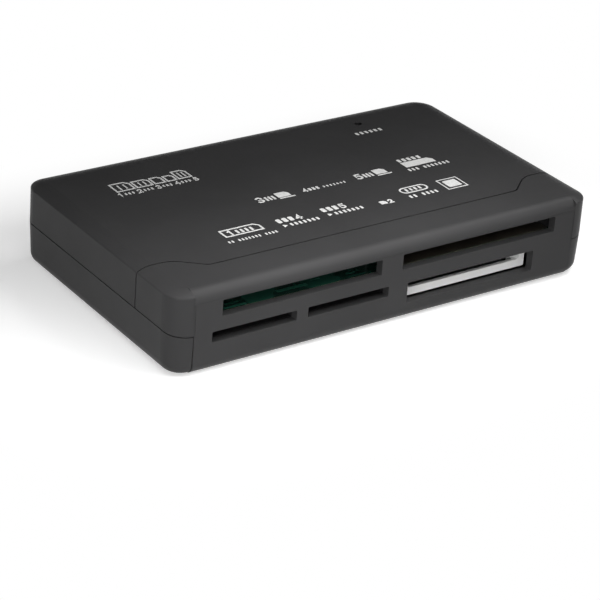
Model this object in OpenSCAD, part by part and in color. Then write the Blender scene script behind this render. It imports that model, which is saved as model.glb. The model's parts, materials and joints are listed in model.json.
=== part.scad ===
// Memory card reader for five sizes of card, with a cable socket in the back.
// Millimetres. The origin is the middle of the underside: X to the right, Y to the back, Z up.

/* [Housing] */
// Width of the housing, left to right
width = 112.2; // [110:0.2:124]
// Depth of the housing, front plate to back wall
depth = 65.2; // [64:0.2:76]
// Height of the housing
height = 19.5; // [19.3:0.1:23]
// Thickness of the roof, the floor and the side and back walls
wall_t = 1.8; // [1.5:0.1:2]
// Thickness of the front plate
plate_t = 2; // [1.6:0.1:2.4]
// Plan radius of the four upright corners
corner_r = 5; // [4.6:0.1:6]
// Radius of the long rounding between the roof and the front plate
hood_r = 3; // [2.2:0.1:3.2]
// Radius of the gentle fall of the roof towards the side and back walls
crown_r = 8.5; // [6:0.1:8.8]
// Angle at which that fall ends
crown_angle = 26; // [20:1:27]
// Radius of the tight rounding from there into the wall
edge_r = 0.4; // [0.3:0.1:0.8]
// Radius of the rounding around the underside
floor_r = 2.8; // [2:0.1:3]
// Draft of the upper walls, as the distance that they lean in
draft_upper = 0.1; // [0:0.05:0.3]
// Draft of the lower walls, as the distance that they lean in
draft_lower = 0.25; // [0:0.05:0.4]

/* [Seams] */
// Height of the parting line between the upper and lower mouldings
parting_z = 10.2; // [9.6:0.1:10.6]
// Drop of the parting line round the front corners
parting_drop = 0.75; // [0:0.05:1]
// Distance of the roof seam behind the front plate
roof_seam = 9.9; // [9:0.1:11]
// Distance of the side seams behind the front plate
side_seam = 15.2; // [14.6:0.1:17]
// Distance from the middle at which the roof seam turns back
seam_turn = 41.6; // [39:0.1:42]
// Angle of the slanted stretch of the roof seam
seam_slant = 40; // [34:1:48]
// Radius of the inner bend of the roof seam
seam_inner_r = 2.5; // [1.5:0.1:3.5]
// Radius of the outer bend of the roof seam
seam_outer_r = 7; // [4:0.5:8]
// Width of the joint line round the housing and beside the front plate
seam_gap = 0.24; // [0.1:0.02:0.4]
// Width of the joint between the top cover and the front bezel
cover_gap = 0.44; // [0.3:0.02:0.5]

/* [Card slots] */
// Middle of the upper left slot
wide_slot_x = -23.8; // [-24.2:0.1:-23.4]
// Width of the upper left slot
wide_slot_w = 40.9; // [39:0.1:41]
// Middle of the upper right slot
pin_slot_x = 23.8; // [23.6:0.1:24.2]
// Width of the upper right slot
pin_slot_w = 43; // [42.9:0.1:43.2]
// Height of the two upper slots
upper_slot_h = 3.75; // [3.5:0.05:3.8]
// Middle of the lower slot on the far left
left_slot_x = -35.85; // [-36:0.05:-35.7]
// Middle of the second lower slot
right_slot_x = -11.65; // [-11.8:0.05:-11.5]
// Width of the two small slots
small_slot_w = 21.3; // [20.6:0.1:21.5]
// Height of the two small slots
small_slot_h = 2.45; // [2.2:0.05:2.6]
// Underside of the two small slots
small_slot_z = 7; // [6.8:0.1:7.2]
// Middle of the lower right slot
multi_slot_x = 22; // [21.6:0.1:22.4]
// Width of the lower right slot
multi_slot_w = 35.6; // [35:0.1:36]
// Height of the lower right slot
multi_slot_h = 5; // [4.8:0.1:5.2]
// Underside of the lower right slot
multi_slot_z = 4.1; // [3.9:0.1:4.2]
// Corner radius of the slots
slot_r = 0.3; // [0.1:0.05:0.4]

/* [Board and screws] */
// Underside of the circuit board
board_z = 11; // [10.9:0.05:11.1]
// Thickness of the circuit board
board_t = 1.6; // [1.5:0.1:1.6]
// Width of the circuit board
board_w = 96; // [94:0.5:97]
// Radius of a screw's shank
shank_r = 1.15; // [1:0.05:1.3]
// Radius of a screw's head
head_r = 2.3; // [2:0.1:2.4]
// Height of a screw's head
head_h = 1.6; // [1.2:0.1:1.6]
// Height of the seat under a screw's head
seat_z = 3; // [2.8:0.1:3.4]

/* [Sockets] */
// Distance between the pins of the pin card socket
pin_pitch = 1.27; // [1.2:0.01:1.3]
// Number of pins in each of its two rows
pins_per_row = 25; // [20:1:26]
// Side of a square pin
pin_side = 0.44; // [0.36:0.02:0.5]
// Number of contacts in the wide card socket
wide_contacts = 18; // [8:1:22]
// Number of contacts in the multi card socket
multi_contacts = 10; // [6:1:14]
// Number of contacts in each small card socket
small_contacts = 8; // [5:1:9]
// Width of a spring contact
contact_w = 0.9; // [0.6:0.05:1]
// Width of the cable socket's mouth
cable_mouth_w = 7.7; // [7:0.1:8]
// Height of the cable socket's mouth
cable_mouth_h = 3.9; // [3.6:0.1:4]
// Length of the cable socket
cable_socket_l = 9.2; // [8:0.1:10]

/* [Small parts] */
// Distance of the lamp hole to the right of the middle
lamp_x = 31.1; // [28:0.1:34]
// Distance of the lamp hole behind the middle
lamp_y = 25.3; // [22:0.1:26]
// Radius of the lamp hole
lamp_hole_r = 1; // [0.8:0.05:1.2]
// Side of the square controller chip
chip_side = 7; // [5:0.5:8]
// Number of leads on each side of the controller chip
leads_per_side = 12; // [8:1:12]

/* [Hidden] */

housing_black = [0.23, 0.23, 0.235];
moulded_black = [0.10, 0.10, 0.11];
nylon_white = [0.94, 0.94, 0.92];
board_green = [0.04, 0.30, 0.20];
spring_gold = [0.83, 0.66, 0.30];
sheet_steel = [0.74, 0.75, 0.77];
screw_steel = [0.55, 0.56, 0.58];
ceramic_tan = [0.70, 0.60, 0.45];
lamp_clear = [0.80, 0.86, 0.90];
film_brown = [0.12, 0.11, 0.09];

round_fn = 64;
front_y = -depth / 2;
back_y = depth / 2;
plate_in_y = front_y + plate_t;
roof_z = height - wall_t;
seam_y = front_y + roof_seam;
side_seam_y = front_y + side_seam;
plate_half_w = width / 2 - corner_r - 0.1;
board_top = board_z + board_t;
board_front_y = plate_in_y + 0.2;
board_back_y = back_y - wall_t - 0.6;
upper_slot_z = board_top + 0.1;
socket_front_y = plate_in_y + 0.6;
// Height of the tongue that stands over the parting line
tongue_h = 1.1;
tongue_t = 0.8;
tongue_end_y = front_y + 7;
// Screw places: two in front, beside the board, and two behind, through it
front_screw = [width / 2 - 5.2, front_y + 10.6];
back_screw = [width / 2 - 11.5, back_y - 7.6];
boss_r = 2.4;
boss_base_r = 3.7;
pilot_top_z = height - 3;
// Upper sockets end below the lip that carries the roof seam
upper_socket_top = board_top + 3.7;
lip_z = roof_z - 0.9;

// Point where a line from p touches the circle of radius r round c
function touch(p, c, r, side) =
    let (v = p - c, a = atan2(v[1], v[0]), b = acos(r / norm(v)))
    c + r * [cos(a + side * b), sin(a + side * b)];

// Evenly spaced places of n items round a middle
function spread(n, pitch, middle = 0) = [for (i = [0:n - 1]) middle + (i - (n - 1) / 2) * pitch];

// Rectangle with its own radius at each corner: left low, right low, right high, left high
module rounded_plate(x0, x1, y0, y1, r) {
    polygon([[x0 + r[0], y0], [x1 - r[1], y0], [x1, y0 + r[1]], [x1, y1 - r[2]],
             [x1 - r[2], y1], [x0 + r[3], y1], [x0, y1 - r[3]], [x0, y0 + r[0]]]);
    translate([x0 + r[0], y0 + r[0]]) circle(r = r[0], $fn = round_fn);
    translate([x1 - r[1], y0 + r[1]]) circle(r = r[1], $fn = round_fn);
    translate([x1 - r[2], y1 - r[2]]) circle(r = r[2], $fn = round_fn);
    translate([x0 + r[3], y1 - r[3]]) circle(r = r[3], $fn = round_fn);
}

// Box given by its lowest and highest corners
module span(low, high) {
    translate(low) cube(high - low);
}

// Section in Y and Z carried along X, from x0 to x1
module along_x(x0, x1) {
    translate([x0, 0, 0]) rotate([90, 0, 90]) linear_extrude(height = x1 - x0) children();
}

// Section in X and Z carried along Y, from y0 to y1
module along_y(y0, y1) {
    translate([0, y1, 0]) rotate([90, 0, 0]) linear_extrude(height = y1 - y0) children();
}

// Copies on the right and, mirrored, on the left
module both_sides() {
    children();
    mirror([1, 0, 0]) children();
}

// Section of a drafted wall, measured outwards from the centre line of a plan corner
// The roof falls along a large arc and then turns into the wall along a small one
module wall_profile() {
    edge = [corner_r, parting_z];
    fall = [sin(crown_angle), cos(crown_angle)];
    small = [corner_r - draft_upper - edge_r, height - crown_r + (crown_r - edge_r) * fall[1]];
    large = small - (crown_r - edge_r) * fall;
    lower = [corner_r - draft_lower - floor_r, floor_r];
    intersection() {
        translate([0, -1]) square([corner_r + 1, height + 2]);
        union() {
            polygon([[0, 0], [lower[0], 0], touch(edge, lower, floor_r, -1), edge,
                     touch(edge, small, edge_r, 1), small + edge_r * fall, large, [large[0], height], [0, height]]);
            translate(small) circle(r = edge_r, $fn = round_fn);
            translate(lower) circle(r = floor_r, $fn = round_fn);
            intersection() {
                translate(large) circle(r = crown_r, $fn = round_fn);
                polygon([large, large + 2 * crown_r * fall, large + [0, 2 * crown_r]]);
            }
        }
    }
}

// Side view of the front, with the large rounding over the front plate, back to a depth
module front_profile(to_y) {
    polygon([[front_y + floor_r, 0], [to_y, 0], [to_y, height], [front_y + hood_r, height],
             [front_y, height - hood_r], [front_y, floor_r]]);
    translate([front_y + floor_r, floor_r]) circle(r = floor_r, $fn = round_fn);
    translate([front_y + hood_r, height - hood_r]) circle(r = hood_r, $fn = round_fn);
}

// The whole outer form: straight runs and four turned corners, trimmed to the side view of the front
module outer_form() {
    reach_x = width / 2 - corner_r;
    reach_y = depth / 2 - corner_r;
    intersection() {
        along_x(-width / 2 - 1, width / 2 + 1) front_profile(depth);
        union() {
            along_x(-reach_x, reach_x) {
                front_profile(reach_y);
                translate([reach_y, 0]) wall_profile();
            }
            both_sides() {
                translate([reach_x, 0, 0]) along_y(-reach_y, reach_y) wall_profile();
                for (end = [0, 1]) translate([reach_x, (2 * end - 1) * reach_y, 0]) rotate([0, 0, end * 90 - 90])
                    rotate_extrude(angle = 90, $fn = round_fn) wall_profile();
            }
        }
    }
}

// Plan of the inside, grown by a distance
module inner_plan(grow = 0) {
    r = corner_r - wall_t + grow;
    rounded_plate(-width / 2 + wall_t - grow, width / 2 - wall_t + grow,
                  plate_in_y - grow, back_y - wall_t + grow, [r, r, r, r]);
}

module cavity() {
    translate([0, 0, wall_t]) linear_extrude(height = roof_z - wall_t) inner_plan();
}

// Plan of everything in front of the seam, which steps back at both ends of the roof
module front_plan(shift = 0) {
    run = [cos(seam_slant), sin(seam_slant)];
    turn = [seam_turn, seam_y];
    shoulder = turn + run * (side_seam_y - seam_y) / run[1];
    inner_cut = seam_inner_r * tan(seam_slant / 2);
    outer_cut = seam_outer_r * tan(seam_slant / 2);
    inner_c = turn + [-inner_cut, seam_inner_r];
    outer_c = shoulder + [outer_cut, -seam_outer_r];
    translate([0, shift]) {
        translate([-width, -depth]) square([2 * width, depth + seam_y]);
        for (side = [0, 1]) mirror([side, 0]) {
            polygon([[seam_turn - 8, -depth], [seam_turn - 8, seam_y], turn, shoulder - run * outer_cut,
                     shoulder + [outer_cut, 0], [width, side_seam_y], [width, -depth]]);
            translate(outer_c) circle(r = seam_outer_r, $fn = round_fn);
            difference() {
                polygon([turn - [inner_cut, 0], turn, turn + run * inner_cut, inner_c]);
                translate(inner_c) circle(r = seam_inner_r, $fn = round_fn);
            }
        }
    }
}

// Side view of what lies above the parting line, which drops round the front corners
module above_parting(shift) {
    along_x(-width, width) translate([0, shift])
        polygon([[-depth, parting_z - parting_drop], [front_y, parting_z - parting_drop],
                 [front_y + corner_r, parting_z], [depth, parting_z], [depth, height * 2], [-depth, height * 2]]);
}

// Room of the front plate, which runs from the hood to the underside
module plate_room(gap = 0) {
    span([-plate_half_w - gap, front_y - 5, -1], [plate_half_w + gap, plate_in_y, height]);
}

// Step that the upper mouldings leave for the tongue of the lower one
module tongue_step() {
    intersection() {
        translate([0, 0, parting_z - 2]) linear_extrude(height = 2 + tongue_h) inner_plan(tongue_t + 0.1);
        span([-width, tongue_end_y - 0.2, 0], [width, depth, height]);
    }
}

module shell_wall() {
    difference() {
        outer_form();
        cavity();
    }
}

module screw_boss(place, low, high) {
    translate([place[0], place[1], low]) cylinder(r = boss_r, h = high - low, $fn = round_fn);
}

module pilot_bore(place, low) {
    translate([place[0], place[1], low - 1]) cylinder(r = shank_r, h = pilot_top_z - low + 1, $fn = round_fn);
}

module slot_hole(middle_x, w, low_z, h) {
    along_y(front_y - 1, plate_in_y + 0.5)
        rounded_plate(middle_x - w / 2, middle_x + w / 2, low_z, low_z + h, [slot_r, slot_r, slot_r, slot_r]);
}

module card_slots() {
    slot_hole(wide_slot_x, wide_slot_w, upper_slot_z, upper_slot_h);
    slot_hole(pin_slot_x, pin_slot_w, upper_slot_z, upper_slot_h);
    slot_hole(left_slot_x, small_slot_w, small_slot_z, small_slot_h);
    slot_hole(right_slot_x, small_slot_w, small_slot_z, small_slot_h);
    slot_hole(multi_slot_x, multi_slot_w, multi_slot_z, multi_slot_h);
}

// Fine line round the flat of the front plate
module plate_line() {
    line_w = 0.2;
    floor_y = front_y + 0.06;
    line_z = upper_slot_z + upper_slot_h + 0.2;
    both_sides() span([plate_half_w - line_w, front_y - 1, parting_z - parting_drop],
                      [plate_half_w, floor_y, line_z + line_w]);
    span([-plate_half_w, front_y - 1, line_z], [plate_half_w, floor_y, line_z + line_w]);
}

// Lips of the bezel that reach under the top cover along the seam
module seam_lips() {
    reach = 2.2;
    root = 1.6;
    inner_half = width / 2 - wall_t;
    intersection() {
        span([-inner_half + 1.2, front_y, 0], [inner_half - 1.2, depth, height]);
        union() {
            translate([0, 0, lip_z]) linear_extrude(height = roof_z - lip_z) difference() {
                front_plan(reach);
                front_plan(-root);
            }
            translate([0, 0, lip_z]) linear_extrude(height = roof_z - lip_z + 0.4) difference() {
                front_plan(0);
                front_plan(-root);
            }
        }
    }
    both_sides() {
        span([inner_half - 1, side_seam_y - root, parting_z + tongue_h + 0.3],
             [inner_half, side_seam_y + reach, roof_z]);
        span([inner_half - 1, side_seam_y - root, parting_z + tongue_h + 0.3],
             [inner_half + 0.4, side_seam_y, roof_z]);
    }
}

// Ledges behind the front plate that carry the front edge of the board
module board_ledges() {
    ledge_h = 1.2;
    ledge_l = 2.4;
    between_small = (left_slot_x + right_slot_x) / 2;
    between_lower = (right_slot_x + small_slot_w / 2 + multi_slot_x - multi_slot_w / 2) / 2;
    for (place = [[between_small, 1.2], [between_lower, 2], [board_w / 2 - 3.4, 2.4]])
        span([place[0] - place[1] / 2, plate_in_y - 0.4, board_z - ledge_h],
             [place[0] + place[1] / 2, plate_in_y + ledge_l, board_z]);
}

module front_bezel() {
    color(housing_black) difference() {
        union() {
            difference() {
                intersection() {
                    shell_wall();
                    union() {
                        plate_room();
                        intersection() {
                            translate([0, 0, -1]) linear_extrude(height = height + 2) front_plan();
                            above_parting(seam_gap / 2);
                        }
                    }
                }
                tongue_step();
            }
            seam_lips();
            board_ledges();
            both_sides() {
                screw_boss(front_screw, board_z, roof_z + 0.4);
                span([front_screw[0] + boss_r - 0.4, front_screw[1] - 0.5, parting_z + tongue_h + 0.3],
                     [width / 2 - wall_t + 0.4, front_screw[1] + 0.5, roof_z]);
            }
        }
        card_slots();
        plate_line();
        both_sides() pilot_bore(front_screw, board_z);
    }
}

// Window in the back wall for the plug of the cable
module cable_window() {
    mid_z = board_top + cable_mouth_h / 2;
    half = [cable_mouth_w / 2 + 0.7, cable_mouth_h / 2 + 0.35];
    along_y(back_y - wall_t - 0.5, back_y + 1)
        rounded_plate(-half[0], half[0], mid_z - half[1], mid_z + half[1], [0.6, 0.6, 0.6, 0.6]);
}

module top_cover() {
    color(housing_black) difference() {
        union() {
            difference() {
                shell_wall();
                span([-width, -depth, -1], [width, depth, parting_z + seam_gap / 2]);
                translate([0, 0, -1]) linear_extrude(height = height + 2) front_plan(cover_gap);
                tongue_step();
            }
            both_sides() {
                screw_boss(back_screw, board_top, roof_z + 0.4);
                span([back_screw[0] - 0.5, back_screw[1] + boss_r - 0.3, parting_z + tongue_h + 2],
                     [back_screw[0] + 0.5, back_y - wall_t + 0.4, roof_z + 0.4]);
            }
        }
        cable_window();
        translate([lamp_x, lamp_y, roof_z - 1]) cylinder(r = lamp_hole_r, h = height, $fn = round_fn);
        both_sides() pilot_bore(back_screw, board_top);
    }
}

// Stepped boss of the floor: a wide foot round the screw's head, and a slim neck up to the board
module floor_boss(place) {
    translate([place[0], place[1], 0.5]) cylinder(r = boss_base_r, h = seat_z + 0.7, $fn = round_fn);
    screw_boss(place, 1, board_z);
}

module screw_way(place) {
    translate([place[0], place[1], -1]) cylinder(r = head_r + 0.35, h = seat_z + 1, $fn = round_fn);
    translate([place[0], place[1], 0]) cylinder(r = shank_r + 0.2, h = board_z + 1, $fn = round_fn);
}

module bottom_shell() {
    post_r = 1.5;
    color(housing_black) difference() {
        union() {
            difference() {
                shell_wall();
                above_parting(-seam_gap / 2);
                plate_room(seam_gap / 2);
            }
            intersection() {
                translate([0, 0, parting_z - 2]) linear_extrude(height = 2 + tongue_h) difference() {
                    inner_plan(tongue_t);
                    inner_plan();
                }
                span([-width, tongue_end_y, 0], [width, depth, height]);
            }
            both_sides() {
                floor_boss(front_screw);
                floor_boss(back_screw);
            }
            for (place = [[-30, 6], [0, 8], [30, 8]])
                translate([place[0], place[1], wall_t - 0.5]) cylinder(r = post_r, h = board_z - wall_t + 0.5, $fn = round_fn);
        }
        both_sides() {
            screw_way(front_screw);
            screw_way(back_screw);
        }
    }
}

// Pan-head screw with a cross recess, its head down
module case_screw(place) {
    recess_w = 0.7;
    recess_l = 2.6;
    recess_h = 0.9;
    translate([place[0], place[1], 0]) {
        difference() {
            translate([0, 0, seat_z - head_h]) cylinder(r1 = head_r - 0.35, r2 = head_r, h = head_h, $fn = round_fn);
            for (turn = [0, 90]) rotate([0, 0, turn])
                span([-recess_l / 2, -recess_w / 2, seat_z - head_h - 1],
                     [recess_l / 2, recess_w / 2, seat_z - head_h + recess_h]);
        }
        translate([0, 0, seat_z - 0.3]) cylinder(r = shank_r, h = pilot_top_z - 1 - seat_z, $fn = round_fn);
    }
}

module case_screws() {
    color(screw_steel) for (x = [-1, 1], place = [front_screw, back_screw])
        case_screw([x * place[0], place[1]]);
}

module main_board() {
    color(board_green) translate([0, 0, board_z]) linear_extrude(height = board_t) difference() {
        rounded_plate(-board_w / 2, board_w / 2, board_front_y, board_back_y, [1, 1, 1, 1]);
        for (x = [-1, 1]) translate([x * back_screw[0], back_screw[1]]) circle(r = shank_r + 0.4, $fn = round_fn);
    }
}

// Pins of the pin card socket: where they lie across and up the header
pin_block_y = front_y + 29;
pin_block_l = 5;
pin_xs = spread(pins_per_row, pin_pitch, pin_slot_x);
pin_zs = [board_top + 1.25, board_top + 1.25 + pin_pitch];

// One square pin, its straight end to the card and its tail bent down on the board
module header_pin(x, z, tail) {
    half = pin_side / 2;
    tail_y = pin_block_y + pin_block_l + tail;
    span([x - half, pin_block_y - 6.5, z - half], [x + half, tail_y + half, z + half]);
    span([x - half, tail_y - half, board_top], [x + half, tail_y + half, z + half]);
    span([x - half, tail_y - half, board_top], [x + half, tail_y + 0.9, board_top + 0.25]);
}

module pin_socket_pins() {
    color(spring_gold) for (x = pin_xs, row = [0, 1]) header_pin(x, pin_zs[row], 0.6 + 1.6 * row);
}

// Header block between two guide arms, with a rail low on each arm that lets the card in one way round
module pin_socket_housing() {
    arm = 1.1;
    x0 = pin_slot_x - pin_slot_w / 2;
    x1 = pin_slot_x + pin_slot_w / 2;
    half = pin_side / 2;
    color(moulded_black) difference() {
        union() {
            span([x0 - arm, pin_block_y, board_top], [x1 + arm, pin_block_y + pin_block_l, upper_socket_top]);
            span([x0 - arm, socket_front_y, board_top], [x0, pin_block_y + 1, upper_socket_top]);
            span([x1, socket_front_y, board_top], [x1 + arm, pin_block_y + 1, upper_socket_top]);
            span([x0 - 0.1, socket_front_y + 3, board_top], [x0 + 0.9, pin_block_y + 1, board_top + 1.1]);
            span([x1 - 0.9, socket_front_y + 3, board_top], [x1 + 0.1, pin_block_y + 1, board_top + 1.1]);
        }
        for (x = pin_xs, z = pin_zs)
            span([x - half, pin_block_y - 1, z - half], [x + half, pin_block_y + pin_block_l + 1, z + half]);
    }
}

// Dark insulating film on the board between the guide arms, narrower beside their rails
module pin_socket_film() {
    film_t = 0.08;
    inset = 0.05;
    rail = 0.9;
    x0 = pin_slot_x - pin_slot_w / 2 + inset;
    x1 = pin_slot_x + pin_slot_w / 2 - inset;
    top = board_top + film_t;
    color(film_brown) {
        span([x0, board_front_y + 0.1, board_top], [x1, socket_front_y + 3 - inset, top]);
        span([x0 + rail, board_front_y + 0.1, board_top], [x1 - rail, pin_block_y - inset, top]);
    }
}

// Spring contact in side view: a foot, a rising arm and a rounded nose
// It is drawn from y = 0 towards the card, and up from its foot
module spring_profile(reach, rise, foot, thick = 0.25) {
    nose = 0.55;
    polygon([[-foot, 0], [0, 0], [reach - nose, rise - thick], [reach, rise - 2.4 * thick],
             [reach + 0.1, rise - 1.5 * thick], [reach - nose, rise], [-0.15, thick], [-foot, thick]]);
}

// Row of spring contacts: place of the root, and -1 in turn makes them hang down
module spring_row(xs, root_y, root_z, reach, rise, foot, up = 1) {
    for (x = xs) translate([x, root_y, root_z]) mirror([0, 0, up > 0 ? 0 : 1])
        along_x(-contact_w / 2, contact_w / 2) mirror([1, 0]) spring_profile(reach, rise, foot);
}

wide_pitch = (wide_slot_w - 7) / max(wide_contacts, 1);
wide_xs = spread(wide_contacts, wide_pitch, wide_slot_x);
wide_root_y = front_y + 21;
wide_sill_h = 1;

// Low carrier between two guide arms, closed by a back stop
module wide_socket_frame() {
    arm = 1.1;
    x0 = wide_slot_x - wide_slot_w / 2;
    x1 = wide_slot_x + wide_slot_w / 2;
    sill_l = 5;
    color(moulded_black) {
        span([x0 - arm, wide_root_y - 1, board_top], [x1 + arm, wide_root_y + sill_l, board_top + wide_sill_h]);
        span([x0 - arm, wide_root_y + sill_l, board_top], [x1 + arm, wide_root_y + sill_l + 1.4, upper_socket_top]);
        for (x = [x0 - arm, x1]) {
            span([x, front_y + 6.5, board_top], [x + arm, wide_root_y + sill_l + 0.5, upper_socket_top]);
            translate([x + arm / 2, front_y + 6.5, board_top])
                cylinder(r = arm / 2, h = upper_socket_top - board_top, $fn = round_fn);
        }
    }
}

module wide_socket_contacts() {
    color(spring_gold) spring_row(wide_xs, wide_root_y, board_top + wide_sill_h, 6, 1.5, 4);
}

module wide_socket_cover() {
    arm = 1.1;
    sheet = 0.25;
    color(sheet_steel) difference() {
        span([wide_slot_x - wide_slot_w / 2 - arm, front_y + 8, upper_socket_top],
             [wide_slot_x + wide_slot_w / 2 + arm, wide_root_y + 6.4, upper_socket_top + sheet]);
        for (x = spread(3, 13, wide_slot_x))
            span([x - 4, wide_root_y - 8, upper_socket_top - 1], [x + 4, wide_root_y - 2, upper_socket_top + 1]);
    }
}

// Moulded frame that hangs under the board, with a card pocket open to the front
module hanging_frame(x0, x1, low_z, pocket, front, back) {
    side = (x1 - x0 - pocket[0]) / 2;
    difference() {
        span([x0, front, low_z], [x1, back, board_z]);
        along_y(front - 1, back - 2)
            rounded_plate(x0 + side, x1 - side, pocket[1], pocket[1] + pocket[2],
                          [pocket[3], pocket[3], pocket[3], pocket[3]]);
    }
}

multi_frame_x0 = multi_slot_x - multi_slot_w / 2 + 0.2;
multi_frame_x1 = multi_slot_x + multi_slot_w / 2 - 0.3;
multi_low_z = multi_slot_z + 0.25;
multi_back_y = front_y + 30;
multi_pocket_z = multi_low_z + 1.85;
multi_pocket_h = 3.1;
multi_root_y = multi_back_y - 4;
multi_xs = spread(multi_contacts, 2.5, multi_slot_x);

// White frame: a bar across its front and open behind it, where the sheet under it closes the floor
module multi_socket_frame() {
    pocket_w = multi_frame_x1 - multi_frame_x0 - 3;
    front_bar = 0.9;
    color(nylon_white) difference() {
        hanging_frame(multi_frame_x0, multi_frame_x1, multi_low_z,
                      [pocket_w, multi_pocket_z, multi_pocket_h, 1.2], socket_front_y, multi_back_y);
        span([multi_frame_x0 + 3, multi_root_y - 9, multi_pocket_z + multi_pocket_h - 0.5],
             [multi_frame_x1 - 3, multi_root_y + 0.2, board_z + 1]);
        span([multi_frame_x0 + 2.7, socket_front_y + front_bar, multi_low_z - 1],
             [multi_frame_x1 - 2.7, multi_back_y - 5, multi_pocket_z + 0.5]);
    }
}

module multi_socket_contacts() {
    color(spring_gold) for (x = multi_xs) {
        translate([x, multi_root_y, board_z]) mirror([0, 0, 1])
            along_x(-contact_w / 2, contact_w / 2) mirror([1, 0]) spring_profile(7.5, 3.2, 0);
        span([x - contact_w / 2, multi_root_y - 1, board_z - 0.25], [x + contact_w / 2, multi_root_y, board_z]);
    }
}

// Folded sheet under a hanging frame, with its two sides turned up
module folded_shell(x0, x1, low_z, high_z, front, back) {
    sheet = 0.2;
    span([x0 - sheet, front, low_z - sheet], [x1 + sheet, back, low_z]);
    span([x0 - sheet, front, low_z - sheet], [x0, back, high_z]);
    span([x1, front, low_z - sheet], [x1 + sheet, back, high_z]);
}

module multi_socket_shell() {
    color(sheet_steel) folded_shell(multi_frame_x0, multi_frame_x1, multi_low_z, board_z,
                                    socket_front_y + 2.5, multi_back_y);
}

small_low_z = small_slot_z - 0.5;
small_back_y = front_y + 21;
small_root_y = small_back_y - 2;
small_side = 0.85;

module small_frame(middle_x) {
    half = small_slot_w / 2 + small_side;
    pocket_h = small_slot_h - 0.1;
    color(moulded_black) difference() {
        hanging_frame(middle_x - half, middle_x + half, small_low_z,
                      [small_slot_w, small_slot_z + 0.05, pocket_h, 0.2], plate_in_y + 0.2, small_back_y);
        span([middle_x - half + 2, small_root_y - 7, small_slot_z + pocket_h - 0.5],
             [middle_x + half - 2, small_root_y + 0.2, board_z + 1]);
        span([middle_x - half - 1, plate_in_y, board_z - 1.4],
             [middle_x + half + 1, plate_in_y + 2.7, board_z + 1]);
    }
}

module small_contact_row(middle_x) {
    color(spring_gold) for (x = spread(small_contacts, 2, middle_x)) {
        translate([x, small_root_y, board_z]) mirror([0, 0, 1])
            along_x(-contact_w / 2, contact_w / 2) mirror([1, 0]) spring_profile(5.5, 2.4, 0);
        span([x - contact_w / 2, small_root_y - 1, board_z - 0.25], [x + contact_w / 2, small_root_y, board_z]);
    }
}

module small_shell(middle_x) {
    half = small_slot_w / 2 + small_side;
    color(sheet_steel) folded_shell(middle_x - half, middle_x + half, small_low_z, board_z - 1.6,
                                    plate_in_y + 2.7, small_back_y);
}

module left_socket_frame() {
    small_frame(left_slot_x);
}

module left_socket_contacts() {
    small_contact_row(left_slot_x);
}

module left_socket_shell() {
    small_shell(left_slot_x);
}

module right_socket_frame() {
    small_frame(right_slot_x);
}

module right_socket_contacts() {
    small_contact_row(right_slot_x);
}

module right_socket_shell() {
    small_shell(right_slot_x);
}

cable_front_y = back_y - 0.6;
cable_back_y = cable_front_y - cable_socket_l;
cable_sheet = 0.3;

// Mouth of the cable socket: wide above, narrower below, with slanted shoulders
module cable_mouth(shrink) {
    hw = cable_mouth_w / 2 - shrink;
    nw = cable_mouth_w / 2 - 0.75 - shrink;
    top = cable_mouth_h - shrink;
    polygon([[-nw, shrink], [nw, shrink], [nw, 1.3], [hw, 2.1], [hw, top], [-hw, top], [-hw, 2.1], [-nw, 1.3]]);
}

module cable_socket_shell() {
    leg = [0.9, 1.8];
    color(sheet_steel) {
        along_y(cable_back_y, cable_front_y) translate([0, board_top]) difference() {
            cable_mouth(0);
            cable_mouth(cable_sheet);
        }
        both_sides() for (y = [cable_back_y + 1, cable_back_y + 5.2])
            span([cable_mouth_w / 2 - 0.95, y, board_top], [cable_mouth_w / 2 + leg[0], y + leg[1], board_top + 0.3]);
    }
}

// Back block and the tongue that the plug slides over
module cable_socket_tongue() {
    tongue_half = 2.5;
    tongue_low = board_top + 1.5;
    block_l = 2.2;
    contact_half = 0.2;
    color(moulded_black) difference() {
        union() {
            along_y(cable_back_y, cable_back_y + block_l) translate([0, board_top]) cable_mouth(cable_sheet);
            span([-tongue_half, cable_back_y + 1, tongue_low], [tongue_half, cable_front_y - 1.6, tongue_low + 1.1]);
        }
        for (x = spread(5, 0.8))
            span([x - contact_half, cable_back_y - 1, tongue_low - 0.15],
                 [x + contact_half, cable_front_y - 2.2, tongue_low + 0.1]);
    }
}

module cable_socket_contacts() {
    tongue_low = board_top + 1.5;
    contact_half = 0.2;
    tail_y = cable_back_y - 0.7;
    color(spring_gold) for (x = spread(5, 0.8)) {
        span([x - contact_half, tail_y, tongue_low - 0.15], [x + contact_half, cable_front_y - 2.2, tongue_low + 0.1]);
        span([x - contact_half, tail_y, board_top], [x + contact_half, tail_y + 0.25, tongue_low + 0.1]);
        span([x - contact_half, tail_y - 0.9, board_top], [x + contact_half, tail_y + 0.25, board_top + 0.2]);
    }
}

lamp_flange_z = board_top + 0.8;

// Small domed lamp under the hole in the roof
module status_lamp() {
    body_r = 1.45;
    dome_z = roof_z - body_r - 0.35;
    color(lamp_clear) translate([lamp_x, lamp_y, 0]) {
        translate([0, 0, lamp_flange_z]) cylinder(r = body_r + 0.3, h = 0.6, $fn = round_fn);
        translate([0, 0, lamp_flange_z]) cylinder(r = body_r, h = dome_z - lamp_flange_z, $fn = round_fn);
        translate([0, 0, dome_z]) sphere(r = body_r, $fn = round_fn);
    }
}

module status_lamp_leads() {
    color(sheet_steel) for (x = [-0.64, 0.64])
        span([lamp_x + x - 0.25, lamp_y - 0.25, board_top], [lamp_x + x + 0.25, lamp_y + 0.25, lamp_flange_z]);
}

chip_place = [-8, 14];
chip_stand = 0.15;
chip_h = 1.4;

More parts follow.
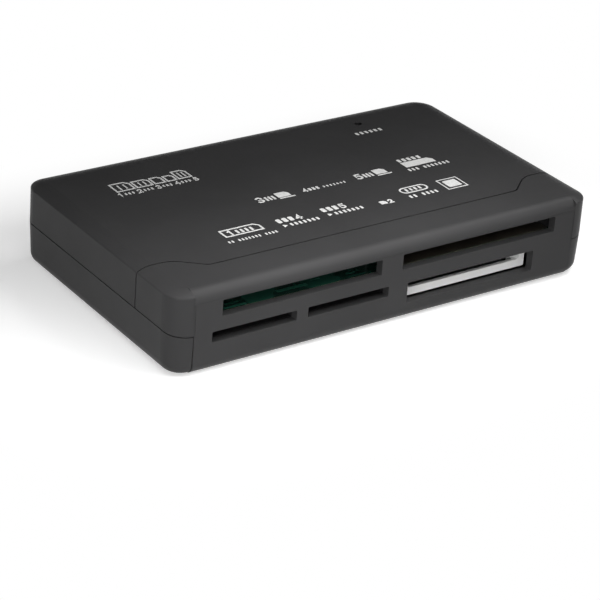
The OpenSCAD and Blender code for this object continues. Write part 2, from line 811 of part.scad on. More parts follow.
module controller_chip() {
    mark_r = 0.45;
    color(moulded_black) translate([chip_place[0], chip_place[1], board_top + chip_stand]) difference() {
        translate([-chip_side / 2, -chip_side / 2, 0]) cube([chip_side, chip_side, chip_h]);
        translate([-chip_side / 2 + 1.1, chip_side / 2 - 1.1, chip_h - 0.1]) cylinder(r = mark_r, h = 1, $fn = round_fn);
    }
}

// Gull-wing leads on the four sides of the chip
module controller_leads() {
    half = 0.11;
    lead_z = board_top + 0.7;
    out = 1;
    color(sheet_steel) translate([chip_place[0], chip_place[1], 0]) for (turn = [0:90:270], x = spread(leads_per_side, 0.5))
        rotate([0, 0, turn]) {
            span([x - half, chip_side / 2, lead_z], [x + half, chip_side / 2 + 0.5, lead_z + 0.15]);
            span([x - half, chip_side / 2 + 0.35, board_top], [x + half, chip_side / 2 + 0.5, lead_z + 0.15]);
            span([x - half, chip_side / 2 + 0.35, board_top], [x + half, chip_side / 2 + out, board_top + 0.15]);
        }
}

module crystal_can() {
    half = [5.4, 2.1];
    r = 2;
    color(sheet_steel) translate([-24, 15, board_top]) {
        linear_extrude(height = 0.4) rounded_plate(-half[0], half[0], -half[1], half[1], [r, r, r, r]);
        linear_extrude(height = 3.3)
            rounded_plate(-half[0] + 0.4, half[0] - 0.4, -half[1] + 0.4, half[1] - 0.4, [r, r, r, r] * 0.8);
    }
}

module regulator_chip() {
    color(moulded_black) span([7, 19, board_top], [11.5, 21.5, board_top + 1.5]);
}

module bulk_capacitor() {
    color(sheet_steel) translate([19, 20, board_top]) {
        translate([-2.2, -2.2, 0]) cube([4.4, 4.4, 0.6]);
        cylinder(r = 2, h = 4.2, $fn = round_fn);
    }
}

// Chip parts in short rows, each a small block on the board
capacitor_rows = [[-14, 6, 4], [3, 13, 3], [-1, 17.5, 2], [26, 8, 3]];
resistor_rows = [[-14, 21, 4], [12, 8, 4], [-34, 8, 3], [22, 14, 2]];

module chip_row(rows, size, step) {
    for (row = rows, i = [0:row[2] - 1])
        translate([row[0] + i * step, row[1], board_top]) cube(size);
}

module chip_capacitors() {
    color(ceramic_tan) chip_row(capacitor_rows, [0.9, 1.6, 0.8], 2.2);
}

module chip_resistors() {
    color(moulded_black) chip_row(resistor_rows, [0.8, 1.6, 0.5], 2);
}

top_cover();
front_bezel();
bottom_shell();
case_screws();
main_board();
pin_socket_housing();
pin_socket_pins();
pin_socket_film();
wide_socket_frame();
wide_socket_contacts();
wide_socket_cover();
multi_socket_frame();
multi_socket_contacts();
multi_socket_shell();
left_socket_frame();
left_socket_contacts();
left_socket_shell();
right_socket_frame();
right_socket_contacts();
right_socket_shell();
cable_socket_shell();
cable_socket_tongue();
cable_socket_contacts();
status_lamp();
status_lamp_leads();
controller_chip();
controller_leads();
crystal_can();
regulator_chip();
bulk_capacitor();
chip_capacitors();
chip_resistors();
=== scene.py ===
import json
import math

import bpy
import numpy as np
from bpy.props import FloatProperty, FloatVectorProperty, PointerProperty
from mathutils import Matrix, Vector


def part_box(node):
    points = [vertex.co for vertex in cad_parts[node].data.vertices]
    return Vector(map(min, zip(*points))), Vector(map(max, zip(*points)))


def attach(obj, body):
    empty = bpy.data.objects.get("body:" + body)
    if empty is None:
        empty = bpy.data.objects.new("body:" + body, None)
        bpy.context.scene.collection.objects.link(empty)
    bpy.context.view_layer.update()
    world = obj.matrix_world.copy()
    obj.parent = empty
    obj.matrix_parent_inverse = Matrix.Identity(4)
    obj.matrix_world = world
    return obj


bl_info = {
    "name": "Memory card reader",
    "version": (1, 0, 0),
    "blender": (4, 5, 0),
    "location": "3D View > Sidebar > Reader",
    "description": "Finishes, printed marks and studio for a memory card reader",
    "category": "Object",
}

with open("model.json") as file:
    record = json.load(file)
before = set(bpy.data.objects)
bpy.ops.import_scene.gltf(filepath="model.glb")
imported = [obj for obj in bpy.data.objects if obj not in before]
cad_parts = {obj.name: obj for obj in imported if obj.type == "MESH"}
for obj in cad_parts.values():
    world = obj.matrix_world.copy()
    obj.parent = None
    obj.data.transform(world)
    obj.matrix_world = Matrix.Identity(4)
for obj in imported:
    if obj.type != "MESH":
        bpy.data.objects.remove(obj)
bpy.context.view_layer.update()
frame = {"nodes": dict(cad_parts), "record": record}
BODY = "root"
MM = 0.001
ROOF_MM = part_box("top_cover")[1][2] / MM


# Settings: colours are linear

class FinishSettings(bpy.types.PropertyGroup):
    """Colours of the reader's materials, and the moulded texture of its housing"""
    housing_colour: FloatVectorProperty(
        name="Housing", description="Matt black plastic of the three housing mouldings",
        subtype="COLOR", size=3, min=0, max=1, default=(0.0450, 0.0446, 0.0454))
    housing_roughness: FloatProperty(
        name="Housing roughness", description="Mean roughness of the housing's moulded surface",
        subtype="FACTOR", min=0.1, max=1, default=0.42)
    grain_size: FloatProperty(
        name="Grain size", description="Distance between the bumps of the moulded texture",
        subtype="DISTANCE", unit="LENGTH", min=0.0001, max=0.002, default=0.00025)
    grain_depth: FloatProperty(
        name="Grain depth", description="Height of the bumps of the moulded texture",
        subtype="DISTANCE", unit="LENGTH", min=0, max=0.0002, default=0.000012)
    connector_colour: FloatVectorProperty(
        name="Connector black", description="Black plastic of the card sockets and chips",
        subtype="COLOR", size=3, min=0, max=1, default=(0.011, 0.011, 0.0115))
    nylon_colour: FloatVectorProperty(
        name="White nylon", description="White bar at the mouth of the multi card socket",
        subtype="COLOR", size=3, min=0, max=1, default=(0.96, 0.96, 0.95))
    mask_colour: FloatVectorProperty(
        name="Solder mask", description="Green lacquer over the bare board",
        subtype="COLOR", size=3, min=0, max=1, default=(0.008, 0.032, 0.023))
    track_colour: FloatVectorProperty(
        name="Covered copper", description="Green lacquer where copper lies under it",
        subtype="COLOR", size=3, min=0, max=1, default=(0.022, 0.125, 0.084))
    fibre_colour: FloatVectorProperty(
        name="Board edge", description="Cut edge of the glass fibre board",
        subtype="COLOR", size=3, min=0, max=1, default=(0.36, 0.37, 0.2))
    gold_colour: FloatVectorProperty(
        name="Gold plating", description="Spring contacts and pins",
        subtype="COLOR", size=3, min=0, max=1, default=(0.83, 0.61, 0.27))
    tin_colour: FloatVectorProperty(
        name="Tin plating", description="Folded socket shells and solder tails",
        subtype="COLOR", size=3, min=0, max=1, default=(0.66, 0.67, 0.69))
    zinc_colour: FloatVectorProperty(
        name="Zinc plating", description="Housing screws",
        subtype="COLOR", size=3, min=0, max=1, default=(0.45, 0.46, 0.48))
    can_colour: FloatVectorProperty(
        name="Aluminium can", description="Can of the large capacitor",
        subtype="COLOR", size=3, min=0, max=1, default=(0.78, 0.79, 0.8))
    film_colour: FloatVectorProperty(
        name="Film", description="Dark insulating film under the pin card socket",
        subtype="COLOR", size=3, min=0, max=1, default=(0.030, 0.026, 0.020))
    ceramic_colour: FloatVectorProperty(
        name="Ceramic", description="Body of the chip capacitors",
        subtype="COLOR", size=3, min=0, max=1, default=(0.42, 0.31, 0.19))
    lamp_colour: FloatVectorProperty(
        name="Lamp resin", description="Clear resin of the status lamp",
        subtype="COLOR", size=3, min=0, max=1, default=(0.75, 0.82, 0.86))


class PrintSettings(bpy.types.PropertyGroup):
    """Ink of the printed marks on the roof"""
    ink_colour: FloatVectorProperty(
        name="Ink", description="White pad-printing ink of the marks on the roof",
        subtype="COLOR", size=3, min=0, max=1, default=(0.78, 0.78, 0.77))
    ink_height: FloatProperty(
        name="Ink height", description="Height of the ink over the roof",
        subtype="DISTANCE", unit="LENGTH", min=0.00001, max=0.0002, default=0.00003)
    stroke: FloatProperty(
        name="Stroke", description="Width of the lines of the card outlines",
        subtype="DISTANCE", unit="LENGTH", min=0.0002, max=0.001, default=0.00042)


class StageSettings(bpy.types.PropertyGroup):
    """Floor, camera, lights and room"""
    floor_size: FloatProperty(
        name="Floor size", description="Side of the square floor",
        subtype="DISTANCE", unit="LENGTH", min=1, max=20, default=6)
    lens: FloatProperty(
        name="Lens", description="Focal length on a 36 mm wide sensor",
        subtype="DISTANCE_CAMERA", unit="CAMERA", min=20, max=400, default=136.741)
    distance: FloatProperty(
        name="Camera distance", description="Distance of the camera from the origin along its axis",
        subtype="DISTANCE", unit="LENGTH", min=0.1, max=5, default=0.524019)
    key_power: FloatProperty(
        name="Main light", description="Power of the soft light high on the right",
        subtype="POWER", unit="POWER", min=0, max=50, default=1.1)
    low_power: FloatProperty(
        name="Low light", description="Power of the soft light lower down in front on the right",
        subtype="POWER", unit="POWER", min=0, max=50, default=0.8)
    strip_power: FloatProperty(
        name="Strip above", description="Power of the long strip close above the front edge",
        subtype="POWER", unit="POWER", min=0, max=50, default=0.0245)
    short_power: FloatProperty(
        name="Short strip", description="Power of the short strip just in front of and above the hood",
        subtype="POWER", unit="POWER", min=0, max=50, default=0.012)
    front_power: FloatProperty(
        name="Small front light", description="Power of the small light close in front",
        subtype="POWER", unit="POWER", min=0, max=50, default=0.024)
    face_power: FloatProperty(
        name="Face light", description="Power of the soft light in front, a little above the slots",
        subtype="POWER", unit="POWER", min=0, max=50, default=0.26)
    left_power: FloatProperty(
        name="Small left light", description="Power of the small light close on the left",
        subtype="POWER", unit="POWER", min=0, max=50, default=0.043)
    back_power: FloatProperty(
        name="Back light", description="Power of the low light behind",
        subtype="POWER", unit="POWER", min=0, max=50, default=0.5)
    sky: FloatProperty(
        name="Room", description="Brightness of the room above the horizon",
        subtype="FACTOR", min=0, max=2, default=0.03)


# Shader maths

class Shade:
    """A value, colour or shader in a material or world. Operators on it add Math nodes, and node() adds any
    other kind."""

    def __init__(self, tree, out=None):
        self.tree = tree
        self.out = out

    def node(self, kind, settings=None, links=None, out=0):
        """A new node of that type: its settings are made first, then the values or links of its sockets."""
        made = self.tree.nodes.new(kind)
        for key, value in (settings or {}).items():
            setattr(made, key, value)
        for key, value in (links or {}).items():
            if isinstance(value, Shade):
                self.tree.links.new(value.out, made.inputs[key])
            else:
                made.inputs[key].default_value = value
        return Shade(self.tree, made.outputs[out])

    def surface(self, kind):
        """Feeds this shader to the surface of a new output node of that type."""
        self.tree.links.new(self.out, self.tree.nodes.new(kind).inputs["Surface"])

    def math(self, operation, *values):
        return self.node("ShaderNodeMath", {"operation": operation}, dict(enumerate(values)))

    def __add__(self, other):
        return self.math("ADD", self, other)

    __radd__ = __add__

    def __sub__(self, other):
        return self.math("SUBTRACT", self, other)

    def __rsub__(self, other):
        return self.math("SUBTRACT", other, self)

    def __mul__(self, other):
        return self.math("MULTIPLY", self, other)

    __rmul__ = __mul__

    def __truediv__(self, other):
        return self.math("DIVIDE", self, other)

    def __rtruediv__(self, other):
        return self.math("DIVIDE", other, self)

    def __gt__(self, other):
        return self.math("GREATER_THAN", self, other)

    def __lt__(self, other):
        return self.math("LESS_THAN", self, other)

    def __abs__(self):
        return self.math("ABSOLUTE", self)

    def root(self):
        return self.math("SQRT", self)

    def fract(self):
        return self.math("FRACT", self)

    def most(self, other):
        return self.math("MAXIMUM", self, other)

    def least(self, other):
        return self.math("MINIMUM", self, other)

    def smooth(self, start, end):
        """0 up to start, 1 from end on, and a smooth step between."""
        return self.node("ShaderNodeMapRange", {"interpolation_type": "SMOOTHSTEP"},
                         {"Value": self, "From Min": start, "From Max": end})

    def spread(self, mean, width):
        """Turns a value from 0 to 1 into one that covers width round a mean."""
        return self * width + (mean - width / 2)

    def blend(self, colour_0, colour_1):
        """Mixes two colours by this value."""
        mixed = {0: self, 6: rgba(colour_0), 7: rgba(colour_1)}
        return self.node("ShaderNodeMix", {"data_type": "RGBA"}, mixed, 2)

    def split(self):
        """The three parts of a vector."""
        parts = self.node("ShaderNodeSeparateXYZ", None, {0: self}).out.node.outputs
        return [Shade(self.tree, part) for part in parts]


def rgba(colour):
    """A colour for a socket: another node's value as it is, and three numbers with a full alpha."""
    return colour if isinstance(colour, Shade) else (*tuple(colour)[:3], 1)


def tinted(colour, factor):
    """A colour times a number, kept at 1 or less."""
    return tuple(min(1.0, part * factor) for part in tuple(colour)[:3])


def blank(owner):
    """Clears the nodes of a material or world and gives its tree, as the start of new nodes."""
    owner.use_nodes = True
    owner.node_tree.nodes.clear()
    return Shade(owner.node_tree)


class Material:
    """A node material with one Principled shader, on Object coordinates. Lengths are in metres."""

    def __init__(self, name, **fixed):
        """The fixed values are those that are the same all over, and stand on the shader's own sockets."""
        self.data = bpy.data.materials.new(name)
        self.start = blank(self.data)
        values = {socket.replace("_", " "): value for socket, value in fixed.items()}
        self.shader = self.start.node("ShaderNodeBsdfPrincipled", None, values)
        self.shader.surface("ShaderNodeOutputMaterial")
        self.place = self.start.node("ShaderNodeTexCoord", out="Object")

    def link(self, socket, value):
        """Feeds a value that changes over the surface to one of the shader's sockets."""
        self.start.tree.links.new(value.out, self.shader.out.node.inputs[socket])

    def stretched(self, scale):
        """Object coordinates multiplied by a scale along each axis."""
        return self.start.node("ShaderNodeMapping", None, {"Vector": self.place, "Scale": scale})

    def noise(self, size, detail=2.0, rough=0.5, at=None):
        """Noise from 0 to 1 whose lumps are about size apart."""
        return self.start.node("ShaderNodeTexNoise", None, {
            "Vector": at or self.place, "Scale": 1 / size, "Detail": detail, "Roughness": rough})

    def cells(self, size):
        """Distance to the nearest of points scattered about size apart, as a share of size."""
        return self.start.node("ShaderNodeTexVoronoi", None, {
            "Vector": self.place, "Scale": 1 / size}, "Distance")

    def drift(self, colour, size, low, high):
        """A colour that drifts between two shares of itself over lumps of a size."""
        return self.noise(size, detail=3).smooth(0.3, 0.7).blend(tinted(colour, low), tinted(colour, high))

    def bump(self, height, depth):
        """Feeds a height from 0 to 1, which stands for depth, to the normal."""
        self.link("Normal", self.start.node("ShaderNodeBump", None, {
            "Strength": 1.0, "Distance": depth, "Height": height}))


def dress(slot, material):
    """Gives the material to each CAD node whose record names that slot."""
    parts = frame["record"]["subparts"]
    nodes = [frame["nodes"][part["node"]] for part in parts if part["material_slot"] == slot]
    if not nodes:
        raise RuntimeError("no node has the slot " + slot)
    for node in nodes:
        node.data.materials.clear()
        node.data.materials.append(material)


# Surfaces: a shape is its vertices in millimetres and a list of arrays of faces

def ring_faces(rings, count, closed):
    """Quads between neighbouring rings of count vertices each: corner j of ring i, corner j + 1 of it, and
    the same two of ring i + 1. Closed joins the last ring to the first."""
    last = rings if closed else rings - 1
    i, j = np.meshgrid(np.arange(last), np.arange(count), indexing="ij")
    a, b = i * count, (i + 1) % rings * count
    k = (j + 1) % count
    return np.stack([a + j, a + k, b + k, b + j], -1).reshape(-1, 4)


# Cosine of half a bend past which a mitre grows no longer
TIGHTEST_MITRE = 0.4


def ribbon(path, width, low, high, closed):
    """A bar along a path in the plane: at each point its rectangular section spans width across the mitre of
    the two neighbouring directions, from low to high. An open bar runs half a width past both ends."""
    p = np.array(path, float)
    if not closed:
        first, last = p[0] - p[1], p[-1] - p[-2]
        p[0] += first / np.linalg.norm(first) * width / 2
        p[-1] += last / np.linalg.norm(last) * width / 2
    ahead = np.roll(p, -1, 0) - p
    painted_pocket_shade = p - np.roll(p, 1, 0)
    if not closed:
        ahead[-1] = painted_pocket_shade[-1]
        painted_pocket_shade[0] = ahead[0]
    ahead /= np.linalg.norm(ahead, axis=1)[:, None]
    painted_pocket_shade /= np.linalg.norm(painted_pocket_shade, axis=1)[:, None]
    mean = ahead + painted_pocket_shade
    mean /= np.linalg.norm(mean, axis=1)[:, None]
    across = np.stack([-mean[:, 1], mean[:, 0]], -1)
    reach = width / 2 / np.clip((mean * ahead).sum(1), TIGHTEST_MITRE, 1)[:, None]
    n = len(p)
    section = np.empty((n, 4, 3))
    section[:, :2, :2] = (p + across * reach)[:, None]
    section[:, 2:, :2] = (p - across * reach)[:, None]
    section[:, :, 2] = low, high, high, low
    quads = ring_faces(n, 4, closed)
    if not closed:
        end = 4 * (n - 1)
        quads = np.vstack([quads, [(0, 3, 2, 1), (end, end + 1, end + 2, end + 3)]])
    return section.reshape(-1, 3), [quads[:, ::-1]]


def slab(outline, low, high):
    """A filled convex shape: the outline at low and at high, each with a copy of half its size inside it, and
    both closed by a fan of triangles to the middle."""
    p = np.asarray(outline, float)
    middle = p.mean(0)
    n = len(p)
    size = np.array([0.5, 1, 1, 0.5])[:, None, None]
    level = np.broadcast_to(np.array([low, low, high, high])[:, None, None], (4, n, 1))
    rings = np.concatenate([middle + (p - middle) * size, level], -1).reshape(-1, 3)
    verts = np.vstack([rings, [[*middle, low], [*middle, high]]])
    j = np.arange(n)
    k = (j + 1) % n
    under = np.stack([k, j, np.full(n, 4 * n)], -1)
    over = np.stack([3 * n + j, 3 * n + k, np.full(n, 4 * n + 1)], -1)
    return verts, [ring_faces(4, n, False), under, over]


def make_piece(name, shapes, material):
    """A mesh object at the origin from several shapes, which rides on the reader. The faces of each shape
    count on from the vertices before it."""
    verts = np.vstack([points for points, _ in shapes])
    starts = np.cumsum([0] + [len(points) for points, _ in shapes])
    faces = []
    for start, (_, groups) in zip(starts, shapes):
        for group in groups:
            faces += (group + start).tolist()
    mesh = bpy.data.meshes.new(name)
    mesh.from_pydata((verts * MM).tolist(), [], faces)
    mesh.validate()
    mesh.update()
    mesh.materials.append(material)
    piece = bpy.data.objects.new(name, mesh)
    bpy.context.scene.collection.objects.link(piece)
    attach(piece, BODY)


# Shapes of the printed marks, in millimetres

# Points on a rounded corner, a bar's corner radius as a share of its lesser side, and how far the ink reaches
# into the roof
CORNER_POINTS, BAR_ROUNDING, INK_SINK = 4, 0.3, 0.02


def arc(middle, radius, start, end, count=9):
    """Points on an ellipse: the middle plus its two radii times cosine and sine of an angle, which goes from
    start to end in degrees."""
    t = np.radians(np.linspace(start, end, count))
    return np.array(middle) + np.stack([radius[0] * np.cos(t), radius[1] * np.sin(t)], -1)


def rectangle(x, y, w, h):
    """Outline of a rectangle with its lower left corner at x, y, anticlockwise."""
    return [(x, y), (x + w, y), (x + w, y + h), (x, y + h)]


def rounded(x, y, w, h, r):
    """Outline of a rectangle with a quarter circle at each corner, anticlockwise."""
    left, right, low, high = x + r, x + w - r, y + r, y + h - r
    corners = (((right, low), -90), ((right, high), 0), ((left, high), 90), ((left, low), 180))
    return np.vstack([arc(middle, (r, r), turn, turn + 90, CORNER_POINTS) for middle, turn in corners])


def card(x, y, w, h, cut):
    """Outline of a memory card: a rectangle with its upper right corner cut off, anticlockwise."""
    return [(x, y), (x + w, y), (x + w, y + h - cut), (x + w - cut, y + h), (x, y + h)]


# Strokes of the numbers in a cell 0.6 wide and 1 high
NUMBERS = {
    1: [(0.08, 0.76), (0.34, 1.0), (0.34, 0.0)],
    2: np.vstack([arc((0.3, 0.7), (0.3, 0.3), 165, -40), [(0.0, 0.0), (0.6, 0.0)]]),
    3: np.vstack([arc((0.28, 0.75), (0.27, 0.25), 150, -90, 8), arc((0.28, 0.25), (0.31, 0.25), 82, -150)]),
    4: [(0.46, 0.0), (0.46, 1.0), (0.0, 0.3), (0.66, 0.3)],
    5: np.vstack([[(0.56, 1.0), (0.1, 1.0), (0.05, 0.55)], arc((0.28, 0.32), (0.32, 0.32), 130, -140)]),
}


class Inker:
    """Collects the printed shapes of one piece, all as thick as the ink. Each x, y is a lower left corner on
    the roof, w and h are a width and a height, and pitch is the distance from one bar to the next."""

    def __init__(self, settings):
        self.low = ROOF_MM - INK_SINK
        self.high = ROOF_MM + settings.ink_height / MM
        self.stroke = settings.stroke / MM
        self.shapes = []

    def line(self, path, width=None, closed=False):
        self.shapes.append(ribbon(path, width or self.stroke, self.low, self.high, closed))

    def fill(self, outline):
        self.shapes.append(slab(outline, self.low, self.high))

    def number(self, n, x, y, h, width):
        """A number as high as h, in one stroke of a width."""
        self.line(np.asarray(NUMBERS[n], float) * h + (x, y), width)

    def bar(self, x, y, w, h):
        """A filled bar with rounded corners."""
        self.fill(rounded(x, y, w, h, min(w, h) * BAR_ROUNDING))

    def ticks(self, x, y, counts, pitch, w, h):
        """Groups of small upright bars, as many in each as counts says, with one left out between groups."""
        for count in counts:
            for i in range(count):
                self.bar(x + i * pitch, y, w, h)
            x += (count + 1) * pitch


# Finishes of plastics, board and metals

# Distance between the housing's patches in metres, and how far patches and grain spread its roughness
HOUSING_PATCHES = 0.006
PATCH_ROUGHNESS, GRAIN_ROUGHNESS = 0.05, 0.06


def housing_plastic(s):
    """Matt moulded plastic: fine grain in bump and roughness, wide patches in roughness, and a faint drift of
    colour."""
    mat = Material("moulded_housing", Specular_IOR_Level=0.1)
    grain = mat.noise(s.grain_size, rough=0.6)
    patches = mat.noise(HOUSING_PATCHES, detail=3).smooth(0.25, 0.75)
    least = s.housing_roughness - (PATCH_ROUGHNESS + GRAIN_ROUGHNESS) / 2
    mat.link("Base Color", mat.drift(s.housing_colour, 0.02, low=0.95, high=1.05))
    mat.link("Roughness", patches * PATCH_ROUGHNESS + grain * GRAIN_ROUGHNESS + least)
    mat.bump(grain, depth=s.grain_depth)
    return mat.data


def connector_plastic(s):
    """Black connector plastic with the faint flow lines of glass fibre filling along the width."""
    mat = Material("connector_black", Specular_IOR_Level=0.4)
    flow = mat.noise(0.0008, detail=3, rough=0.6, at=mat.stretched((0.25, 1, 1)))
    dark, pale = tinted(s.connector_colour, 0.8), tinted(s.connector_colour, 1.3)
    mat.link("Base Color", flow.smooth(0.3, 0.7).blend(dark, pale))
    mat.link("Roughness", flow.spread(mean=0.46, width=0.2))
    mat.bump(mat.noise(0.0002), depth=0.00001)
    return mat.data


# The white bar at the mouth of the multi card socket: its depth, and how wide its upright right end is and
# how much deeper that reaches. Past each, the frame is painted black as painted shade of the deep pocket,
# fading in over a short way.
BAR_DEPTH, BAR_FADE = 0.00088, 0.00006
END_WIDTH, END_DEPTH, END_FADE = 0.0045, 0.0022, 0.0001


def nylon(s):
    """White nylon, nearly even and a little waxy; behind the bar at its mouth, painted black as the pocket's
    shade.
    """
    mat = Material("white_nylon", Specular_IOR_Level=0.5)
    x, y, _ = mat.place.split()
    (_, front, _), (right, _, _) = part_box("multi_socket_frame")
    at_end = x.smooth(right - END_WIDTH, right - END_WIDTH + END_FADE)
    # Painted shade: 1 behind the bar, and deeper behind its upright end, where the pocket lies in shadow
    painted_pocket_shade = (y - at_end * END_DEPTH).smooth(front + BAR_DEPTH, front + BAR_DEPTH + BAR_FADE)
    waxy = mat.drift(s.nylon_colour, 0.004, low=0.985, high=1.01)
    # Waxy white on the bar and its end, painted black shade of the pocket behind them
    mat.link("Base Color", painted_pocket_shade.blend(waxy, s.connector_colour))
    mat.link("Roughness", mat.noise(0.001).spread(mean=0.44, width=0.12))
    mat.bump(mat.noise(0.0004), depth=0.000008)
    return mat.data


def film(s):
    """Dark brown insulating film, slightly wavy, with a satin gloss."""
    mat = Material("insulating_film", Specular_IOR_Level=0.4)
    mat.link("Base Color", mat.drift(s.film_colour, 0.005, low=0.7, high=1.5))
    mat.link("Roughness", mat.noise(0.002, detail=3).spread(mean=0.4, width=0.2))
    mat.bump(mat.noise(0.003, detail=1), depth=0.00004)
    return mat.data


# Copper seen in the upper left slot: left, right, front and back of each pad, in millimetres, and the width of
# its soft edge, in metres
PADS = ((-42, -36.5, -30.1, -29.3), (-41, -37.5, -28.6, -27.9), (-28, -20, -28.9, -27.7),
        (-18.5, -16, -27.6, -27.0), (-10, -7.5, -28.6, -27.9))
PAD_FADE = 0.0001
# Distances in metres between tracks that run along the width, between those along the depth, and between vias
SIDEWAYS_PITCH, LENGTHWAYS_PITCH, VIA_PITCH = 0.0016, 0.0018, 0.0042
# How strongly tracks and wide pours of copper show through the lacquer, where a pad shows fully
TRACK_SHADE, POUR_SHADE = 0.45, 0.5
# Roughness of the cut edge and of the lacquer, and what copper adds to the lacquer's
BARE_ROUGHNESS, LACQUER_ROUGHNESS, TRACK_ROUGHNESS = 0.62, 0.24, 0.05


def stripes(place, pitch):
    """1 on a track and 0 between tracks: place over pitch without its whole part, stepped up before a half
    and down after it."""
    part = (place / pitch).fract()
    return part.smooth(0.36, 0.42) * (1 - part.smooth(0.58, 0.64))


def pad(x, y, left, right, front, back):
    """1 on a rectangle in millimetres and 0 off it: the lesser of half its size minus the distance from its
    middle, along both axes, stepped up from 0."""
    across = 0.5 * (right - left) * MM - abs(x - 0.5 * (left + right) * MM)
    along = 0.5 * (back - front) * MM - abs(y - 0.5 * (front + back) * MM)
    return across.least(along).smooth(0, PAD_FADE)


def board_lacquer(s):
    """Solder mask over copper tracks and vias on the two faces, and bare fibre on the cut edges."""
    mat = Material("board_lacquer", Specular_IOR_Level=0.5)
    x, y, z = mat.place.split()
    sideways = mat.noise(0.011, detail=0) > 0.5
    tracks = stripes(y, SIDEWAYS_PITCH) * sideways + stripes(x, LENGTHWAYS_PITCH) * (1 - sideways)
    tracks = tracks * mat.noise(0.007, detail=1).smooth(0.50, 0.52) * TRACK_SHADE
    pour = mat.noise(0.009, detail=0, at=mat.stretched((0.6, 1.6, 1))).smooth(0.56, 0.60)
    tracks = tracks.most(pour * POUR_SHADE)
    for sides in PADS:
        tracks = tracks.most(pad(x, y, *sides))
    via = 1 - mat.cells(VIA_PITCH).smooth(0.09, 0.11)
    lacquer = tracks.blend(s.mask_colour, s.track_colour)
    lacquer = (via * (z > 0)).blend(lacquer, tinted(s.tin_colour, 0.6))
    weave = mat.noise(0.0004, rough=0.6, at=mat.stretched((1, 1, 6)))
    edge = weave.blend(tinted(s.fibre_colour, 0.7), s.fibre_colour)
    upright = mat.start.node("ShaderNodeTexCoord", out="Normal").split()[2]
    face = abs(upright).smooth(0.4, 0.6)
    gloss = tracks * TRACK_ROUGHNESS + (LACQUER_ROUGHNESS - BARE_ROUGHNESS)
    mat.link("Base Color", face.blend(edge, lacquer))
    mat.link("Roughness", face * gloss + BARE_ROUGHNESS)
    mat.bump(tracks, depth=0.00003)
    return mat.data


def plated(name, colour, roughness, streak, spots=0.0):
    """Plated metal: fine streaks of rolling or drawing in the roughness, and cloudy spots in the colour. The
    streaks run along the axes whose scale is least. Spots is how much darker than usual the clouds are."""
    mat = Material(name, Metallic=1.0)
    lines = mat.noise(0.0009, detail=3, rough=0.6, at=mat.stretched(streak))
    cloud = mat.noise(0.0025).smooth(0.3, 0.7)
    mat.link("Base Color", cloud.blend(tinted(colour, 0.88 - spots), tinted(colour, 1.05)))
    mat.link("Roughness", lines.spread(mean=roughness, width=0.22))
    mat.bump(lines, depth=0.000006)
    return mat.data


def ceramic(s):
    """Fired ceramic with tiny dark specks."""
    mat = Material("fired_ceramic", Specular_IOR_Level=0.5)
    clean = mat.cells(0.0003).smooth(0.1, 0.25) * mat.noise(0.001).smooth(0.2, 0.6)
    mat.link("Base Color", clean.blend(tinted(s.ceramic_colour, 0.6), s.ceramic_colour))
    mat.link("Roughness", mat.noise(0.0003).spread(mean=0.45, width=0.2))
    return mat.data


def lamp_resin(s):
    """Clear cast resin with a faint inner haze."""
    mat = Material("lamp_resin", Transmission_Weight=0.85, IOR=1.53)
    mat.link("Base Color", mat.drift(s.lamp_colour, 0.0015, low=0.92, high=1.0))
    mat.link("Roughness", mat.noise(0.0006).spread(mean=0.13, width=0.1))
    return mat.data


def printing_ink(s):
    """Pad-printing ink: white, slightly thin in places, with a dull grain. All printed pieces share it, and
    it is made for the first of them."""
    if "printing_ink" in bpy.data.materials:
        return bpy.data.materials["printing_ink"]
    mat = Material("printing_ink", Specular_IOR_Level=0.3)
    full = mat.noise(0.0007, detail=3).smooth(0.25, 0.6)
    mat.link("Base Color", full.blend(tinted(s.ink_colour, 0.86), s.ink_colour))
    mat.link("Roughness", mat.noise(0.0003).spread(mean=0.575, width=0.15))
    mat.bump(mat.noise(0.0002), depth=0.000005)
    return mat.data


# Steps that dress the CAD nodes

class READER_OT_housing(bpy.types.Operator):
    """Gives the three housing mouldings their matt moulded finish"""
    bl_idname = "reader.housing"
    bl_label = "Housing finish"

    def execute(self, context):
        dress("housing", housing_plastic(context.scene.reader_finish))
        return {"FINISHED"}


class READER_OT_screws(bpy.types.Operator):
    """Gives the housing screws their zinc plating"""
    bl_idname = "reader.screws"
    bl_label = "Screw plating"

    def execute(self, context):
        s = context.scene.reader_finish
        zinc = plated("zinc_plating", s.zinc_colour, roughness=0.36, streak=(1, 1, 4), spots=0.08)
        dress("screw_steel", zinc)
        return {"FINISHED"}


class READER_OT_board(bpy.types.Operator):
    """Gives the circuit board its solder mask, tracks and cut edges"""
    bl_idname = "reader.board"
    bl_label = "Board lacquer"

    def execute(self, context):
        dress("board_green", board_lacquer(context.scene.reader_finish))
        return {"FINISHED"}


class READER_OT_sockets(bpy.types.Operator):
    """Gives the black and white socket mouldings, the chips and the film their plastics"""
    bl_idname = "reader.sockets"
    bl_label = "Socket plastics"

    def execute(self, context):
        s = context.scene.reader_finish
        dress("moulded_black", connector_plastic(s))
        dress("nylon_white", nylon(s))
        dress("film_brown", film(s))
        return {"FINISHED"}


class READER_OT_contacts(bpy.types.Operator):
    """Gives pins, springs and folded shells their gold and tin plating"""
    bl_idname = "reader.contacts"
    bl_label = "Contact plating"

    def execute(self, context):
        s = context.scene.reader_finish
        dress("contact_gold", plated("gold_plating", s.gold_colour, roughness=0.26, streak=(1, 0.2, 1)))
        dress("sheet_steel", plated("tin_plating", s.tin_colour, roughness=0.34, streak=(0.15, 1, 1)))
        return {"FINISHED"}


class READER_OT_small_parts(bpy.types.Operator):
    """Gives the capacitors their aluminium and ceramic finishes"""
    bl_idname = "reader.small_parts"
    bl_label = "Small board parts"

    def execute(self, context):
        s = context.scene.reader_finish
        dress("can_aluminium", plated("drawn_can", s.can_colour, roughness=0.28, streak=(1, 1, 0.2)))
        dress("ceramic_tan", ceramic(s))
        return {"FINISHED"}


